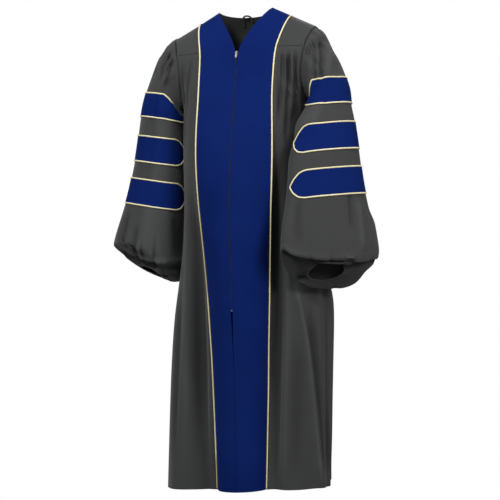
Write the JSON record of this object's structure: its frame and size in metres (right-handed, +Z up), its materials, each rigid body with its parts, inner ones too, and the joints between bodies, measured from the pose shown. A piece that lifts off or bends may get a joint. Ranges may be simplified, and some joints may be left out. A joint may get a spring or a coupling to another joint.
{
  "type": "graduation gown",
  "caption": "Full-length doctoral graduation gown with bell sleeves, velvet front panels and sleeve bars edged in gold piping, a front zip, gathered yokes and open neck, cuffs and hem.",
  "frame": {"origin": "middle of the neck opening, level with the shoulder seams at the neck, where the wearer's shoulders carry the gown", "axes": "+Z up along the wearer, -Y to the wearer's front, +X to the wearer's left"},
  "size_m": [0.7881, 0.4015, 1.3653],
  "materials": {
    "gown_cloth": "charcoal-black matte suiting with a faint sheen",
    "velvet": "royal blue velvet pile",
    "piping": "pale gold corded piping with a satin sheen",
    "zip_tape": "woven dark tape",
    "zip_coil": "dark dyed zip coil",
    "zip_metal": "nickel-plated metal"
  },
  "bodies": {
    "gown": {"front_left": "gown_cloth", "yoke_front_left": "gown_cloth", "sleeve_left": "gown_cloth", "front_right": "gown_cloth", "yoke_front_right": "gown_cloth", "sleeve_right": "gown_cloth", "back": "gown_cloth", "yoke_back": "gown_cloth", "hanger_loop": "gown_cloth", "panel_left": "velvet", "bar_left_1": "velvet", "bar_left_2": "velvet", "bar_left_3": "velvet", "panel_right": "velvet", "bar_right_1": "velvet", "bar_right_2": "velvet", "bar_right_3": "velvet", "panel_piping_left": "piping", "bar_piping_left_1": "piping", "bar_piping_left_2": "piping", "bar_piping_left_3": "piping", "panel_piping_right": "piping", "bar_piping_right_1": "piping", "bar_piping_right_2": "piping", "bar_piping_right_3": "piping", "zip_tape": "zip_tape", "zip_chain": "zip_coil", "zip_slider": "zip_metal", "zip_stop": "zip_metal"},
    "zip_pull": {"zip_pull": "zip_metal"}
  },
  "joints": [
    {"name": "zip_pull_hinge", "type": "hinge", "parent": "gown", "child": "zip_pull", "pos_m": [0, -0.09362, -0.13068], "axis": [-1, 0, 0], "range_deg": [0, 165]}
  ]
}
